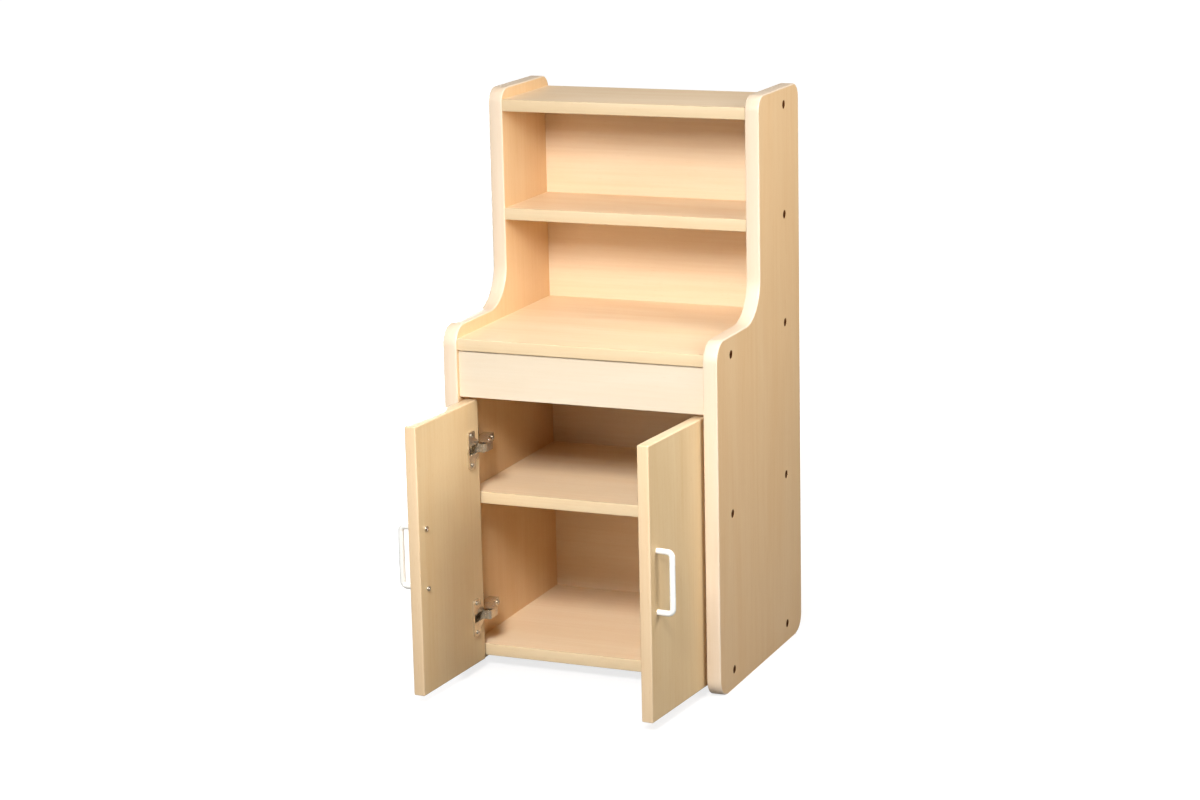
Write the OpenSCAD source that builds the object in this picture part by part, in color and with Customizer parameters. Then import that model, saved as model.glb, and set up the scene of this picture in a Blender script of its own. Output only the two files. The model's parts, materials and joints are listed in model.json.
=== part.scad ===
// A small hutch cupboard in maple-faced board: shelf bays above a counter,
// and a two-door cupboard below it on concealed cup hinges.
// Millimetres, +Z up. The front faces -Y and the right side faces +X.

/* [Carcass] */
// Width over both sides
body_w = 460; // [400:1:560]
// Depth of the sides at the counter
body_d = 386; // [330:1:460]
// Height of the sides
body_h = 916; // [880:1:1000]
// Depth of the sides above the counter
upper_d = 189; // [160:1:230]
// Thickness of the sides
side_t = 23; // [18:0.5:28]
// Thickness of the boards between the sides
board_t = 19; // [16:0.5:22]
// Thickness of the back panel
back_t = 12; // [6:0.5:15]
// How far the back panel lies in front of the sides' rear edges
back_inset = 6; // [2:0.5:12]
// Thickness of the edge bands
band_t = 2; // [1:0.25:2.5]

/* [Board heights] */
// From the top of the sides down to the top board
top_drop = 18; // [8:0.5:40]
// Underside of the upper shelf
upper_shelf_z = 703; // [660:1:780]
// Underside of the counter
counter_z = 527; // [480:1:560]
// How far the shoulders of the sides rise above the counter
shoulder_rise = 20; // [8:0.5:30]
// Underside of the cupboard shelf
cupboard_shelf_z = 274; // [240:1:300]
// Underside of the bottom board
bottom_board_z = 20; // [12:0.5:30]

/* [Board fronts] */
// Front of the two upper boards behind the sides' upper front edge
upper_setback = 1; // [0:0.25:6]
// Front of the counter behind the sides' front edge
counter_setback = 5; // [2:0.25:8]
// Front of the apron behind the sides' front edge
apron_setback = 9; // [6:0.25:14]
// Height of the apron
apron_h = 74; // [50:1:100]
// Shadow gap between the apron and the counter
apron_gap = 1; // [0.5:0.25:3]
// Air between the swinging doors and the boards behind them
shelf_clear = 1.2; // [0.8:0.1:4]

/* [Side outline] */
// Radius of the upper corners
top_r = 24; // [12:0.5:36]
// Radius of the shoulders
shoulder_r = 32; // [12:0.5:44]
// Radius of the hollow above the shoulders
hollow_r = 64; // [36:1:80]
// Radius of the foot corners
foot_r = 29; // [10:0.5:36]

/* [Doors] */
// Thickness of the doors
door_t = 19; // [18:0.25:21]
// Front of the closed doors behind the sides' front edge
door_setback = 5; // [4:0.25:8]
// Gap between a closed door and the side
door_gap = 3; // [3:0.25:5]
// Gap between the two closed doors
door_mid_gap = 2; // [1.5:0.25:5]
// Underside of the doors
door_z = 15.5; // [12:0.5:24]
// Gap between the doors and the apron
door_top_gap = 5.5; // [2:0.25:8]
// Rounding of the doors' upright edges
door_edge_r = 2; // [1:0.25:2.5]
// Opening angle of the left door as drawn, in degrees
left_open_angle = 93; // [60:0.5:97]
// Opening angle of the right door as drawn, in degrees
right_open_angle = 85.5; // [60:0.5:97]

/* [Handles] */
// Distance between the handle screws
handle_pitch = 96; // [64:1:160]
// Handle screws to the free edge of the door
handle_inset = 23; // [18:0.5:40]
// Middle of the handle above the middle of the door
handle_rise = 1.5; // [-20:0.5:120]
// Thickness of the handle rod
handle_rod = 9; // [8:0.5:12]
// How far the handle stands out
handle_reach = 30; // [26:0.5:40]
// Bend radius of the handle at the middle of the rod
handle_bend = 8; // [6:0.5:12]

/* [Hinges] */
// Middle of a hinge to the end of the door
hinge_inset = 77.5; // [50:1:100]
// Middle of the hinge cup to the door's hinge edge
cup_inset = 22; // [21:0.25:23]
// Outer diameter of the hinge cup
cup_d = 35; // [34.5:0.1:35.5]
// Depth of the cup bore
cup_depth = 13.5; // [13.25:0.05:14]
// Wall of the cup
cup_wall = 0.8; // [0.6:0.1:0.9]
// Thickness of the cup's flange
flange_t = 2.8; // [1.2:0.1:2.8]
// Width of the cup's flange along the door
flange_w = 21; // [18:0.5:26]
// Flange screws behind the middle of the cup
flange_shift = 6; // [4:0.5:7]
// Distance between the two flange screws
flange_pitch = 48; // [46:0.5:52]
// Diameter of the hinge pin
pin_d = 2.8; // [2:0.1:3]
// Width of the hinge arm
arm_w = 13.5; // [11:0.5:13.5]
// Thickness of the arm's steel
arm_t = 2; // [1.4:0.1:2]
// Distance between the mounting plate's screws
plate_pitch = 32; // [28:0.5:40]
// Mounting plate's screws behind the sides' front edge
plate_y = 62; // [60:0.5:66]

/* [Fasteners] */
// Diameter of the carcass screws' heads
screw_head_d = 13.4; // [9:0.1:15]
// Diameter of the carcass screws' shanks
screw_d = 6.8; // [5:0.1:8]
// Length of the carcass screws
screw_len = 50; // [44:0.5:60]
// How deep the screw heads lie below the sides
screw_recess = 0.5; // [0.4:0.1:3]
// Front screws behind the sides' front edge
front_screw_y = 63; // [56:0.5:90]
// Rear screws in front of the sides' rear edge
rear_screw_inset = 71; // [50:0.5:90]
// Diameter of the dowels
dowel_d = 8; // [6:0.1:10]
// Length of the dowels
dowel_len = 30; // [24:0.5:34]

/* [Hidden] */
$fn = 48;

// Straight steps in each rounded corner of the side outline
arc_steps = 14;
// A hair of extra length where one shape is cut out of another
cut = 0.5;

// Carcass
inner_w = body_w - 2 * side_t;
upper_y = body_d - upper_d;
shoulder_z = counter_z + board_t + shoulder_rise;
top_board_z = body_h - top_drop - board_t;
back_y = body_d - back_inset - back_t;
upper_front_y = upper_y + upper_setback;
apron_top_z = counter_z - apron_gap;
apron_z = apron_top_z - apron_h;
band_r = band_t / 2;

// Doors, drawn closed with their hinge edge at x = 0 and their outer face at y = 0
door_w = (inner_w - 2 * door_gap - door_mid_gap) / 2;
door_h = apron_z - door_top_gap - door_z;
hinge_zs = [door_z + hinge_inset, door_z + door_h - hinge_inset];
handle_x = door_w - handle_inset;
handle_z = door_z + door_h / 2 + handle_rise;

// The hinge pin lies inside the cup, close to the door's hinge edge
pin_inset = 10;
pin_back = 10;
pin_depth = door_t - pin_back;
pin_x = side_t + door_gap + pin_inset;
pin_y = door_setback + pin_depth;
pin_play = 0.05;
knuckle_d = pin_d + 2;
lug_gap = 0.4;
lug_t = 2.2;
lug_reach = 3;
cup_play = 0.1;
rim_lap = 0.6;
flange_end = 6.5;
flange_corner_r = 5;
pocket_r = cup_d / 2 - cup_play - cup_wall;
cup_floor = door_t - cup_depth;

// The boards behind the doors stay clear of the doors' swinging inner corner
corner_s = pin_inset - door_edge_r;
corner_t = door_t - pin_depth - door_edge_r;
swing_r = sqrt(corner_s * corner_s + corner_t * corner_t) + door_edge_r;
shelf_y = pin_y + swing_r + shelf_clear;

// Hinge arm: its hook reaches across the cup, turns out of it and comes back to the plate
hook_clear = 0.6;
swing_clear = 2.4;
cheek_gap = 2;
cheek_clear = 0.3;
hook_half = sqrt(pocket_r * pocket_r - arm_w * arm_w / 4);
hook_x = pin_x - pin_inset + cup_inset + hook_half - hook_clear - arm_t / 2;
hook_turn = 3;
hook_out_y = door_setback + door_t + flange_t + cheek_gap;
hook_crank_y = 40;
slot_clear = 0.6;
plate_t = 2.2;
plate_block_w = 9;
plate_block_t = 17;
plate_wing = 13;
plate_lead = 10;
plate_tail = 1;
plate_front_y = plate_y - plate_lead;
plate_len = 38;
plate_ahead = 14;
arm_x = side_t + plate_block_t + arm_t / 2;
arm_end_y = plate_front_y + plate_len - plate_tail;
cheek_t = 1.5;
cheek_run = 14;
rivet_d = 3;
rivet_in = 8;
rivet_back = 3;
rivet_head_d = 6;
rivet_head_t = 1;

// Small screws
small_screw_d = 3.5;
small_head_d = 7;
small_head_t = 1.6;
small_screw_len = 13;
handle_screw_d = 4;
handle_head_d = 8.4;
handle_head_t = 2.4;
handle_screw_grip = 9;
arm_screw_d = 5;
arm_screw_head_d = 8;
arm_screw_head_t = 1.8;
arm_screw_len = 14;
arm_screw_inset = 5;
arm_screw_pitch = 11;
slot_w = 1;
slot_t = 0.8;
screw_head_t = 3;
socket_d = 4;
socket_t = 2;
rear_screw_y = body_d - rear_screw_inset;
back_screw_d = 3.5;
back_screw_head_d = 7;
back_screw_head_t = 2;
back_screw_len = 35;
back_screw_margin = 60;
upper_dowel_inset = 40;
upper_dowel_y = upper_front_y + upper_dowel_inset;
lower_dowel_y = (front_screw_y + rear_screw_y) / 2;
apron_dowel_margin = 18;

// Every board end: [underside, screw places, dowel places]
lower_screws = [front_screw_y, rear_screw_y];
board_ends = [
  [top_board_z, [rear_screw_y], [upper_dowel_y]],
  [upper_shelf_z, [rear_screw_y], [upper_dowel_y]],
  [counter_z, lower_screws, [lower_dowel_y]],
  [cupboard_shelf_z, lower_screws, [lower_dowel_y]],
  [bottom_board_z, lower_screws, [lower_dowel_y]]
];
side_screws = [for (e = board_ends) for (y = e[1]) [y, e[0] + board_t / 2]];
board_dowels = [for (e = board_ends) for (y = e[2]) [y, e[0] + board_t / 2]];
apron_mid_y = apron_setback + board_t / 2;
apron_dowels = [for (z = [apron_z + apron_dowel_margin, apron_top_z - apron_dowel_margin]) [apron_mid_y, z]];
side_dowels = concat(board_dowels, apron_dowels);
back_screws = [for (e = board_ends) if (e[0] != top_board_z)
  for (x = [side_t + back_screw_margin, body_w / 2, body_w - side_t - back_screw_margin])
    [x, e[0] + board_t / 2]];

// Where a point of a door comes to lie, from its place along the door, its depth and the opening angle
function swung_x(s, t, open) = (s - pin_inset) * cos(open) + (t - pin_depth) * sin(open);
function swung_y(s, t, open) = -(s - pin_inset) * sin(open) + (t - pin_depth) * cos(open);

// The origin lies on the floor, in the middle of the box round the cupboard with its doors as drawn
grip_t = -handle_reach + handle_rod / 2;
left_reach = min(0, pin_x + swung_x(handle_x, grip_t, left_open_angle) - handle_rod / 2);
right_reach = min(0, pin_x + swung_x(handle_x, grip_t, right_open_angle) - handle_rod / 2);
function front_reach(open) = pin_y - door_edge_r + min(
  swung_y(door_w - door_edge_r, door_edge_r, open),
  swung_y(door_w - door_edge_r, door_t - door_edge_r, open));
origin_x = (left_reach + body_w - right_reach) / 2;
origin_y = (min(front_reach(left_open_angle), front_reach(right_open_angle)) + body_d) / 2;

function arc(cy, cz, r, from, to) =
  [for (i = [0:arc_steps]) let (a = from + (to - from) * i / arc_steps) [cy + r * cos(a), cz + r * sin(a)]];

// Outline of a side as depth and height, drawn in by the given inset
function side_outline(inset) = concat(
  arc(foot_r, foot_r, foot_r - inset, 180, 270),
  arc(body_d - foot_r, foot_r, foot_r - inset, 270, 360),
  arc(body_d - top_r, body_h - top_r, top_r - inset, 0, 90),
  arc(upper_y + top_r, body_h - top_r, top_r - inset, 90, 180),
  arc(upper_y - hollow_r, shoulder_z + hollow_r, hollow_r + inset, 0, -90),
  arc(shoulder_r, shoulder_z - shoulder_r, shoulder_r - inset, 90, 180));

// Placing
module in_frame() { translate([-origin_x, -origin_y, 0]) children(); }
module mirrored() { translate([body_w, 0, 0]) mirror([1, 0, 0]) children(); }
module across(x, w) { translate([x, 0, 0]) rotate([90, 0, 90]) linear_extrude(height = w) children(); }
module along_x(x, y, z, d, len) { translate([x, y, z]) rotate([0, 90, 0]) cylinder(d = d, h = len); }
module along_y(x, y, z, d, len) { translate([x, y, z]) rotate([-90, 0, 0]) cylinder(d = d, h = len); }
module hung(open) {
  translate([pin_x, pin_y, 0]) rotate([0, 0, -open]) translate([-pin_inset, -pin_depth, 0]) children();
}
module left_hung() { in_frame() hung(left_open_angle) children(); }
module right_hung() { in_frame() mirrored() hung(right_open_angle) children(); }
module left_fixed() { in_frame() children(); }
module right_fixed() { in_frame() mirrored() children(); }

// Carcass pieces
module foot_strip() {
  translate([foot_r, 0]) square([body_d - 2 * foot_r, band_t + cut]);
}
module screw_holes() {
  for (p = side_screws) {
    along_x(-cut, p[0], p[1], screw_head_d + 0.6, cut + screw_recess + screw_head_t);
    along_x(0, p[0], p[1], screw_d, screw_len + screw_recess);
  }
}
module dowel_holes() {
  for (p = side_dowels) along_x(side_t - dowel_len / 2, p[0], p[1], dowel_d, dowel_len);
}
module plate_screw_holes() {
  for (z = hinge_zs) for (side = [-1, 1])
    along_x(side_t + plate_t - small_screw_len, plate_y, z + side * plate_pitch / 2,
      small_screw_d, small_screw_len);
}
module side_panel() {
  difference() {
    across(0, side_t) { polygon(side_outline(band_t)); foot_strip(); }
    screw_holes();
    dowel_holes();
    plate_screw_holes();
  }
}
// One rounded strip round a side: rings of the outline from the left arris to the right one
module side_edge_band() {
  steps = 4;
  turns = [for (i = [0:steps]) 90 * i / steps];
  rings = concat(
    [for (a = turns) [band_t * (1 - cos(a)), band_t * (1 - sin(a))]],
    [for (i = [0:steps]) let (a = turns[steps - i])
      [side_t - band_t * (1 - cos(a)), band_t * (1 - sin(a))]]);
  n = len(side_outline(0));
  m = len(rings);
  points = [for (ring = rings) for (p = side_outline(ring[1])) [ring[0], p[0], p[1]]];
  faces = [for (j = [0:m - 1]) for (i = [0:n - 1])
    [j * n + i, j * n + (i + 1) % n, ((j + 1) % m) * n + (i + 1) % n, ((j + 1) % m) * n + i]];
  difference() {
    polyhedron(points = points, faces = faces, convexity = 6);
    translate([-cut, foot_r, -cut]) cube([side_t + 2 * cut, body_d - 2 * foot_r, band_t + 2 * cut]);
  }
}
module side_screw_set() {
  for (p = side_screws) difference() {
    union() {
      along_x(screw_recess, p[0], p[1], screw_head_d, screw_head_t);
      along_x(screw_recess, p[0], p[1], screw_d, screw_len);
    }
    translate([screw_recess - cut, p[0], p[1]]) rotate([0, 90, 0])
      cylinder(d = socket_d, h = socket_t + cut, $fn = 6);
  }
}
module dowel_set() {
  for (p = side_dowels) along_x(side_t - dowel_len / 2, p[0], p[1], dowel_d, dowel_len);
}
module back_screw_holes() {
  for (p = back_screws)
    along_y(p[0], back_y + back_t - back_screw_len, p[1], back_screw_d, back_screw_len);
}
module board(z, front, back) {
  difference() {
    translate([side_t, front + band_t, z]) cube([inner_w, back - front - band_t, board_t]);
    screw_holes();
    mirrored() screw_holes();
    dowel_holes();
    mirrored() dowel_holes();
    back_screw_holes();
  }
}
module front_band(z, front) {
  across(side_t, inner_w) translate([front, z]) {
    translate([0, band_r]) square([band_t, board_t - 2 * band_r]);
    translate([band_r, 0]) square([band_t - band_r, board_t]);
    for (h = [band_r, board_t - band_r]) translate([band_r, h]) circle(r = band_r);
  }
}

module left_side_panel() { color("burlywood") left_fixed() side_panel(); }
module right_side_panel() { color("burlywood") right_fixed() side_panel(); }
module left_side_edge_band() { color("wheat") left_fixed() side_edge_band(); }
module right_side_edge_band() { color("wheat") right_fixed() side_edge_band(); }
module left_side_screws() { color("dimgray") left_fixed() side_screw_set(); }
module right_side_screws() { color("dimgray") right_fixed() side_screw_set(); }
module left_dowels() { color("tan") left_fixed() dowel_set(); }
module right_dowels() { color("tan") right_fixed() dowel_set(); }
module top_board() { color("burlywood") in_frame() board(top_board_z, upper_front_y, back_y + back_t); }
module top_board_edge_band() { color("wheat") in_frame() front_band(top_board_z, upper_front_y); }
module upper_shelf() { color("burlywood") in_frame() board(upper_shelf_z, upper_front_y, back_y); }
module upper_shelf_edge_band() { color("wheat") in_frame() front_band(upper_shelf_z, upper_front_y); }
module counter_board() { color("burlywood") in_frame() board(counter_z, counter_setback, back_y); }
module counter_edge_band() { color("wheat") in_frame() front_band(counter_z, counter_setback); }
module cupboard_shelf() { color("burlywood") in_frame() board(cupboard_shelf_z, shelf_y, back_y); }
module cupboard_shelf_edge_band() { color("wheat") in_frame() front_band(cupboard_shelf_z, shelf_y); }
module bottom_board() { color("burlywood") in_frame() board(bottom_board_z, shelf_y, back_y); }
module bottom_board_edge_band() { color("wheat") in_frame() front_band(bottom_board_z, shelf_y); }

module apron() {
  color("burlywood") in_frame() difference() {
    translate([side_t, apron_setback, apron_z]) cube([inner_w, board_t, apron_h]);
    dowel_holes();
    mirrored() dowel_holes();
  }
}
module back_panel() {
  color("burlywood") in_frame() difference() {
    translate([side_t, back_y, bottom_board_z]) cube([inner_w, back_t, top_board_z - bottom_board_z]);
    back_screw_holes();
    for (p = back_screws)
      along_y(p[0], back_y + back_t - back_screw_head_t, p[1], back_screw_head_d, back_screw_head_t + cut);
  }
}
module back_panel_screws() {
  color("silver") in_frame() for (p = back_screws) {
    along_y(p[0], back_y + back_t - back_screw_len, p[1], back_screw_d, back_screw_len);
    along_y(p[0], back_y + back_t - back_screw_head_t, p[1], back_screw_head_d, back_screw_head_t);
  }
}

// Door pieces
module door_slab(inset, r) {
  for (x = [inset + r, door_w - inset - r]) for (y = [r, door_t - r]) translate([x, y]) circle(r = r);
  translate([inset, r]) square([door_w - 2 * inset, door_t - 2 * r]);
  translate([inset + r, 0]) square([door_w - 2 * inset - 2 * r, door_t]);
}
module door_core() {
  translate([band_t, 0, door_z + band_t]) cube([door_w - 2 * band_t, door_t, door_h - 2 * band_t]);
}
module door_panel() {
  difference() {
    door_core();
    for (z = hinge_zs) {
      along_y(cup_inset, cup_floor, z, cup_d, cup_depth + cut);
      for (side = [-1, 1])
        along_y(cup_inset + flange_shift, door_t + flange_t - small_screw_len, z + side * flange_pitch / 2,
          small_screw_d, small_screw_len);
    }
    for (side = [-1, 1])
      along_y(handle_x, -cut, handle_z + side * handle_pitch / 2, handle_screw_d, door_t + 2 * cut);
  }
}
module door_edge_band() {
  difference() {
    translate([0, 0, door_z]) linear_extrude(height = door_h) door_slab(0, door_edge_r);
    translate([band_t, -cut, door_z + band_t])
      cube([door_w - 2 * band_t, door_t + 2 * cut, door_h - 2 * band_t]);
  }
}
module handle_leg_and_bend(side) {
  straight = handle_reach - handle_rod / 2 - handle_bend;
  translate([handle_x, 0, handle_z + side * handle_pitch / 2]) {
    along_y(0, -straight, 0, handle_rod, straight);
    translate([0, -straight, -side * handle_bend]) rotate([0, 90, 0]) rotate([0, 0, side > 0 ? 180 : -90])
      rotate_extrude(angle = 90) translate([handle_bend, 0]) circle(d = handle_rod);
  }
}
module handle() {
  grip = handle_pitch - 2 * handle_bend;
  difference() {
    union() {
      for (side = [-1, 1]) handle_leg_and_bend(side);
      translate([handle_x, grip_t, handle_z - grip / 2]) cylinder(d = handle_rod, h = grip);
    }
    for (side = [-1, 1])
      along_y(handle_x, -handle_screw_grip, handle_z + side * handle_pitch / 2,
        handle_screw_d, handle_screw_grip + cut);
  }
}
module handle_screw_set() {
  for (side = [-1, 1]) translate([handle_x, 0, handle_z + side * handle_pitch / 2]) difference() {
    union() {
      along_y(0, -handle_screw_grip, 0, handle_screw_d, handle_screw_grip + door_t + cut);
      along_y(0, door_t, 0, handle_head_d, handle_head_t);
    }
    cross_slot(door_t + handle_head_t, handle_head_d);
  }
}
module cross_slot(top, head_d) {
  for (turn = [0, 90]) rotate([0, turn, 0])
    translate([-head_d * 0.3, top - slot_t, -slot_w / 2]) cube([head_d * 0.6, slot_t + cut, slot_w]);
}

// Hinge pieces: the cup, pin and cup screws ride on the door, the arm and plate on the side
module flange_outline() {
  corner_r = flange_corner_r;
  flange_l = flange_pitch + 2 * flange_end;
  circle(r = cup_d / 2 + rim_lap);
  translate([flange_shift, 0]) {
    square([flange_w, flange_l - 2 * corner_r], center = true);
    square([flange_w - 2 * corner_r, flange_l], center = true);
    for (a = [-1, 1]) for (b = [-1, 1])
      translate([a * (flange_w / 2 - corner_r), b * (flange_l / 2 - corner_r)]) circle(r = corner_r);
  }
}
module hinge_cup(z) {
  lug_z = arm_w / 2 + lug_gap;
  slot_from = pin_inset - arm_t / 2 - swing_clear;
  slot_to = hook_x - pin_x + pin_inset + arm_t / 2 + slot_clear;
  translate([cup_inset, 0, z]) difference() {
    union() {
      along_y(0, cup_floor + cup_play, 0, cup_d - 2 * cup_play, cup_depth - cup_play);
      translate([0, door_t + flange_t, 0]) rotate([90, 0, 0])
        linear_extrude(height = flange_t) flange_outline();
    }
    difference() {
      along_y(0, cup_floor + cup_play + cup_wall, 0, 2 * pocket_r, cup_depth - cup_play - cup_wall);
      for (side = [-1, 1])
        translate([pin_inset - cup_inset - lug_reach, cup_floor, side * (lug_z + lug_t / 2) - lug_t / 2])
          cube([2 * lug_reach, pin_depth - cup_floor + lug_reach, lug_t]);
    }
    translate([slot_from - cup_inset, door_t - cut, -arm_w / 2 - slot_clear])
      cube([slot_to - slot_from, flange_t + 2 * cut, arm_w + 2 * slot_clear]);
    translate([pin_inset - cup_inset, pin_depth, -lug_z - lug_t])
      cylinder(d = pin_d, h = 2 * (lug_z + lug_t));
    for (side = [-1, 1])
      along_y(flange_shift, door_t - cut, side * flange_pitch / 2, small_screw_d, flange_t + 2 * cut);
  }
}
module hinge_pin(z) {
  half = arm_w / 2 + lug_gap + lug_t;
  translate([pin_inset, pin_depth, z - half]) cylinder(d = pin_d, h = 2 * half);
}
module strip(from, to) {
  run = to - from;
  translate(from) rotate(atan2(run[1], run[0])) translate([0, -arm_t / 2]) square([norm(run), arm_t]);
  translate(to) circle(d = arm_t);
}
module arm_web() {
  translate([pin_x, pin_y]) circle(d = knuckle_d);
  strip([pin_x, pin_y], [hook_x - hook_turn, pin_y]);
  strip([hook_x - hook_turn, pin_y], [hook_x, pin_y + hook_turn]);
  strip([hook_x, pin_y + hook_turn], [hook_x, hook_crank_y]);
  strip([hook_x, hook_crank_y], [arm_x, plate_front_y + plate_ahead]);
  strip([arm_x, plate_front_y + plate_ahead], [arm_x, arm_end_y]);
}
module arm_cheek() {
  side_x = side_t + plate_t + cheek_clear;
  polygon([
    [hook_x - cheek_run, hook_out_y], [hook_x, hook_out_y], [hook_x, hook_crank_y],
    [arm_x, plate_front_y + plate_ahead], [arm_x, arm_end_y], [side_x, arm_end_y],
    [side_x, plate_front_y]
  ]);
}
module arm_screws_at(z) {
  for (n = [0, 1]) translate([0, arm_end_y - arm_screw_inset - n * arm_screw_pitch, z]) children();
}
module arm_rivet_at(z) {
  translate([hook_x - rivet_in, hook_crank_y + rivet_back, z]) children();
}
module hinge_arm(z) {
  difference() {
    union() {
      translate([0, 0, z - arm_w / 2]) linear_extrude(height = arm_w) arm_web();
      for (h = [z - arm_w / 2, z + arm_w / 2 - cheek_t])
        translate([0, 0, h]) linear_extrude(height = cheek_t) arm_cheek();
    }
    translate([pin_x, pin_y, z - arm_w]) cylinder(d = pin_d + 2 * pin_play, h = 2 * arm_w);
    arm_rivet_at(z) translate([0, 0, -arm_w]) cylinder(d = rivet_d, h = 2 * arm_w);
    arm_screws_at(z) along_x(arm_x - arm_t, 0, 0, arm_screw_d, 2 * arm_t);
  }
}
module hinge_plate(z) {
  difference() {
    union() {
      translate([side_t, plate_front_y, z - plate_block_w / 2])
        cube([plate_block_t, plate_len, plate_block_w]);
      translate([side_t, plate_y - plate_wing / 2, z - plate_pitch / 2])
        cube([plate_t, plate_wing, plate_pitch]);
      for (side = [-1, 1]) along_x(side_t, plate_y, z + side * plate_pitch / 2, plate_wing, plate_t);
    }
    for (side = [-1, 1])
      along_x(side_t - cut, plate_y, z + side * plate_pitch / 2, small_screw_d, plate_t + 2 * cut);
    arm_screws_at(z) along_x(arm_x - arm_screw_len, 0, 0, arm_screw_d, arm_screw_len);
  }
}
module arm_rivet_set() {
  for (z = hinge_zs) arm_rivet_at(z) {
    translate([0, 0, -arm_w / 2]) cylinder(d = rivet_d, h = arm_w);
    for (side = [-1, 1]) mirror([0, 0, side < 0 ? 1 : 0]) translate([0, 0, arm_w / 2])
      cylinder(d1 = rivet_head_d, d2 = rivet_head_d * 0.6, h = rivet_head_t);
  }
}
module cup_screw_set() {
  for (z = hinge_zs) for (side = [-1, 1])
    translate([cup_inset + flange_shift, 0, z + side * flange_pitch / 2]) difference() {
      union() {
        along_y(0, door_t + flange_t - small_screw_len, 0, small_screw_d, small_screw_len);
        along_y(0, door_t + flange_t, 0, small_head_d, small_head_t);
      }
      cross_slot(door_t + flange_t + small_head_t, small_head_d);
    }
}
module plate_screw_set() {
  for (z = hinge_zs) for (side = [-1, 1])
    translate([0, plate_y, z + side * plate_pitch / 2]) difference() {
      union() {
        along_x(side_t + plate_t - small_screw_len, 0, 0, small_screw_d, small_screw_len);
        along_x(side_t + plate_t, 0, 0, small_head_d, small_head_t);
      }
      rotate([0, 0, -90]) cross_slot(side_t + plate_t + small_head_t, small_head_d);
    }
}
module arm_screw_set() {
  for (z = hinge_zs) arm_screws_at(z) difference() {
    union() {
      along_x(arm_x - arm_screw_len, 0, 0, arm_screw_d, arm_screw_len + arm_t / 2);
      along_x(arm_x + arm_t / 2, 0, 0, arm_screw_head_d, arm_screw_head_t);
    }
    rotate([0, 0, -90]) cross_slot(arm_x + arm_t / 2 + arm_screw_head_t, arm_screw_head_d);
  }
}

module left_door_panel() { color("burlywood") left_hung() door_panel(); }
module left_door_edge_band() { color("wheat") left_hung() door_edge_band(); }
module left_handle() { color("white") left_hung() handle(); }
module left_handle_screws() { color("silver") left_hung() handle_screw_set(); }
module left_upper_hinge_cup() { color("silver") left_hung() hinge_cup(hinge_zs[1]); }
module left_lower_hinge_cup() { color("silver") left_hung() hinge_cup(hinge_zs[0]); }
module left_upper_hinge_arm() { color("silver") left_fixed() hinge_arm(hinge_zs[1]); }
module left_lower_hinge_arm() { color("silver") left_fixed() hinge_arm(hinge_zs[0]); }
module left_upper_hinge_plate() { color("gray") left_fixed() hinge_plate(hinge_zs[1]); }
module left_lower_hinge_plate() { color("gray") left_fixed() hinge_plate(hinge_zs[0]); }
module left_hinge_pins() { color("dimgray") left_hung() for (z = hinge_zs) hinge_pin(z); }
module left_cup_screws() { color("silver") left_hung() cup_screw_set(); }
module left_plate_screws() { color("silver") left_fixed() plate_screw_set(); }
module left_arm_screws() { color("silver") left_fixed() arm_screw_set(); }
module left_arm_rivets() { color("silver") left_fixed() arm_rivet_set(); }
module right_door_panel() { color("burlywood") right_hung() door_panel(); }
module right_door_edge_band() { color("wheat") right_hung() door_edge_band(); }
module right_handle() { color("white") right_hung() handle(); }
module right_handle_screws() { color("silver") right_hung() handle_screw_set(); }
module right_upper_hinge_cup() { color("silver") right_hung() hinge_cup(hinge_zs[1]); }
module right_lower_hinge_cup() { color("silver") right_hung() hinge_cup(hinge_zs[0]); }
module right_upper_hinge_arm() { color("silver") right_fixed() hinge_arm(hinge_zs[1]); }
module right_lower_hinge_arm() { color("silver") right_fixed() hinge_arm(hinge_zs[0]); }
module right_upper_hinge_plate() { color("gray") right_fixed() hinge_plate(hinge_zs[1]); }
module right_lower_hinge_plate() { color("gray") right_fixed() hinge_plate(hinge_zs[0]); }
module right_hinge_pins() { color("dimgray") right_hung() for (z = hinge_zs) hinge_pin(z); }
module right_cup_screws() { color("silver") right_hung() cup_screw_set(); }
module right_plate_screws() { color("silver") right_fixed() plate_screw_set(); }
module right_arm_screws() { color("silver") right_fixed() arm_screw_set(); }
module right_arm_rivets() { color("silver") right_fixed() arm_rivet_set(); }

left_side_panel();
right_side_panel();
left_side_edge_band();
right_side_edge_band();
top_board();
top_board_edge_band();
upper_shelf();
upper_shelf_edge_band();
counter_board();
counter_edge_band();
apron();
cupboard_shelf();
cupboard_shelf_edge_band();
bottom_board();
bottom_board_edge_band();
back_panel();
left_side_screws();
right_side_screws();
left_dowels();
right_dowels();
back_panel_screws();
left_door_panel();
left_door_edge_band();
left_handle();
left_handle_screws();
left_upper_hinge_cup();
left_lower_hinge_cup();
left_upper_hinge_arm();
left_lower_hinge_arm();
left_upper_hinge_plate();
left_lower_hinge_plate();
left_hinge_pins();
left_cup_screws();
left_plate_screws();
left_arm_screws();
left_arm_rivets();
right_door_panel();
right_door_edge_band();
right_handle();
right_handle_screws();
right_upper_hinge_cup();
right_lower_hinge_cup();
right_upper_hinge_arm();
right_lower_hinge_arm();
right_upper_hinge_plate();
right_lower_hinge_plate();
right_hinge_pins();
right_cup_screws();
right_plate_screws();
right_arm_screws();
right_arm_rivets();
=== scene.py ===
import json
from math import cos, radians, sin
import bpy
import bmesh
from mathutils import Matrix, Vector
from bpy.props import FloatProperty, FloatVectorProperty, IntProperty, PointerProperty


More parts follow.
